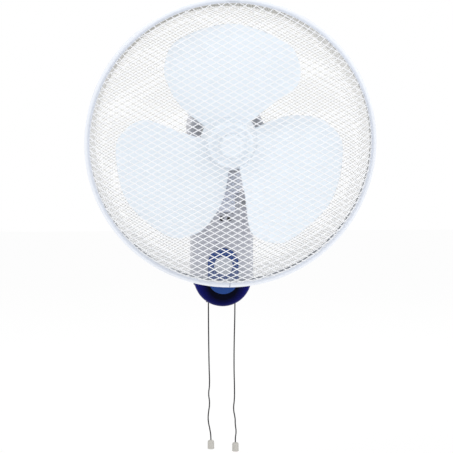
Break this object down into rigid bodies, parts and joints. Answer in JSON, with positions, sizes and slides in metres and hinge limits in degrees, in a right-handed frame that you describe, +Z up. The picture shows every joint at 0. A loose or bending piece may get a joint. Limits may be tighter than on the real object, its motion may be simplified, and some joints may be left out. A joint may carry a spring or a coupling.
{
  "type": "wall mounted fan",
  "caption": "Wall mounted fan with a round mesh guard, leaf blades, tilting and swinging head, box base with a navy lower end, and hanging pull cords.",
  "frame": {"origin": "centre of the wall plate's back, on the wall's face", "axes": "+Z up, the fan faces -Y, +X to the right of someone who looks at the fan"},
  "size_m": [0.44, 0.3264, 0.7344],
  "materials": {
    "white_moulding": "smooth satin-gloss moulding, faint lilac-grey tint",
    "navy_moulding": "glossy navy moulding",
    "blue_panel": "glossy blue panel",
    "pale_disc": "plain pale disc",
    "guard_coating": "white powder coating on expanded mesh",
    "ring_moulding": "pale bluish white moulding",
    "blade_moulding": "pale bluish white moulding",
    "knob_moulding": "ribbed warm grey knob",
    "cord_braid": "black braided pull cord",
    "black_nylon": "black nylon",
    "gland_rubber": "black rubber gland",
    "switch_case": "dark grey moulding",
    "zinc_steel": "zinc plated steel",
    "screw_steel": "dark plated screws",
    "shaft_steel": "ground steel shaft",
    "lamination": "laminated electrical steel",
    "copper_wire": "enamelled copper wire",
    "bronze": "sintered bronze"
  },
  "bodies": {
    "base": {"wall_plate": "zinc_steel", "base_rear_housing": "white_moulding", "base_front_cover": "white_moulding", "lower_cap": "navy_moulding", "front_panel": "blue_panel", "badge_disc": "pale_disc", "cord_guides": "black_nylon", "mains_gland": "gland_rubber", "switch_bracket": "zinc_steel", "bracket_screws": "screw_steel", "speed_switch_case": "switch_case", "swing_switch_case": "switch_case", "run_capacitor": "switch_case", "terminal_block": "black_nylon", "base_screws": "screw_steel", "plate_screw": "screw_steel", "support_arm": "white_moulding", "arm_screws": "screw_steel", "arm_nuts": "zinc_steel", "tilt_bolt": "zinc_steel", "tilt_washers": "zinc_steel", "tilt_nut": "zinc_steel"},
    "neck": {"neck_bracket": "white_moulding", "pivot_washer": "black_nylon", "pivot_shaft": "shaft_steel", "pivot_clip": "screw_steel", "anchor_lever": "zinc_steel"},
    "head": {"swing_housing": "white_moulding", "pivot_bush": "bronze", "swing_motor": "zinc_steel", "pod_screws": "screw_steel", "motor_front_housing": "white_moulding", "motor_rear_cover": "white_moulding", "motor_screws": "screw_steel", "stator_core": "lamination", "stator_windings": "copper_wire", "front_bearing": "bronze", "rear_bearing": "bronze", "rear_guard": "guard_coating", "guard_nut": "ring_moulding", "front_guard": "guard_coating", "guard_ring": "ring_moulding", "ring_screw": "screw_steel", "ring_nut": "zinc_steel", "top_clip": "ring_moulding"},
    "crank": {"swing_crank": "black_nylon"},
    "link": {"swing_link": "black_nylon"},
    "rotor": {"motor_shaft": "shaft_steel", "rotor_core": "lamination", "drive_pin": "screw_steel", "fan_blade": "blade_moulding", "spinner": "blade_moulding"},
    "speed_pull": {"speed_cord": "cord_braid", "speed_knob": "knob_moulding"},
    "swing_pull": {"swing_cord": "cord_braid", "swing_knob": "knob_moulding"},
    "speed_drum": {"speed_spool": "black_nylon"},
    "swing_drum": {"swing_spool": "black_nylon"}
  },
  "joints": [
    {"name": "tilt", "type": "hinge", "parent": "base", "child": "neck", "pos_m": [0, -0.135, 0.07], "axis": [1, 0, 0], "range_deg": [-15, 12]},
    {"name": "head_swing", "type": "hinge", "parent": "neck", "child": "head", "pos_m": [0, -0.135, 0.07], "axis": [0, -0.1392, 0.9903], "range_deg": [-45, 45]},
    {"name": "crank_turn", "type": "hinge", "parent": "head", "child": "crank", "pos_m": [0, -0.10317, 0.11658], "axis": [0, -0.1392, 0.9903], "range_deg": [-90, 90]},
    {"name": "link_turn", "type": "hinge", "parent": "crank", "child": "link", "pos_m": [0.0099, -0.10359, 0.11955], "axis": [0, -0.1392, 0.9903], "range_deg": [-90, 90]},
    {"name": "blade_spin", "type": "hinge", "parent": "head", "child": "rotor", "pos_m": [0, -0.26461, 0.16589], "axis": [0, -0.9903, -0.1392], "continuous": true},
    {"name": "speed_pull", "type": "slide", "parent": "base", "child": "speed_pull", "axis": [0, 0, -1], "range_m": [0, 0.012], "stiffness_N_per_m": 300, "springref_m": -0.005},
    {"name": "swing_pull", "type": "slide", "parent": "base", "child": "swing_pull", "axis": [0, 0, -1], "range_m": [0, 0.012], "stiffness_N_per_m": 300, "springref_m": -0.005},
    {"name": "speed_drum_turn", "type": "hinge", "parent": "base", "child": "speed_drum", "pos_m": [-0.0127, -0.05, -0.07], "axis": [0, 1, 0], "range_deg": [-90, 0]},
    {"name": "swing_drum_turn", "type": "hinge", "parent": "base", "child": "swing_drum", "pos_m": [0.0127, -0.05, -0.07], "axis": [0, 1, 0], "range_deg": [0, 90]}
  ],
  "couplings": [
    {"joint": "crank_turn", "follows": "head_swing", "ratio": -2},
    {"joint": "link_turn", "follows": "head_swing", "ratio": 2},
    {"joint": "speed_drum_turn", "follows": "speed_pull", "rad_per_m": -125},
    {"joint": "swing_drum_turn", "follows": "swing_pull", "rad_per_m": 125}
  ]
}
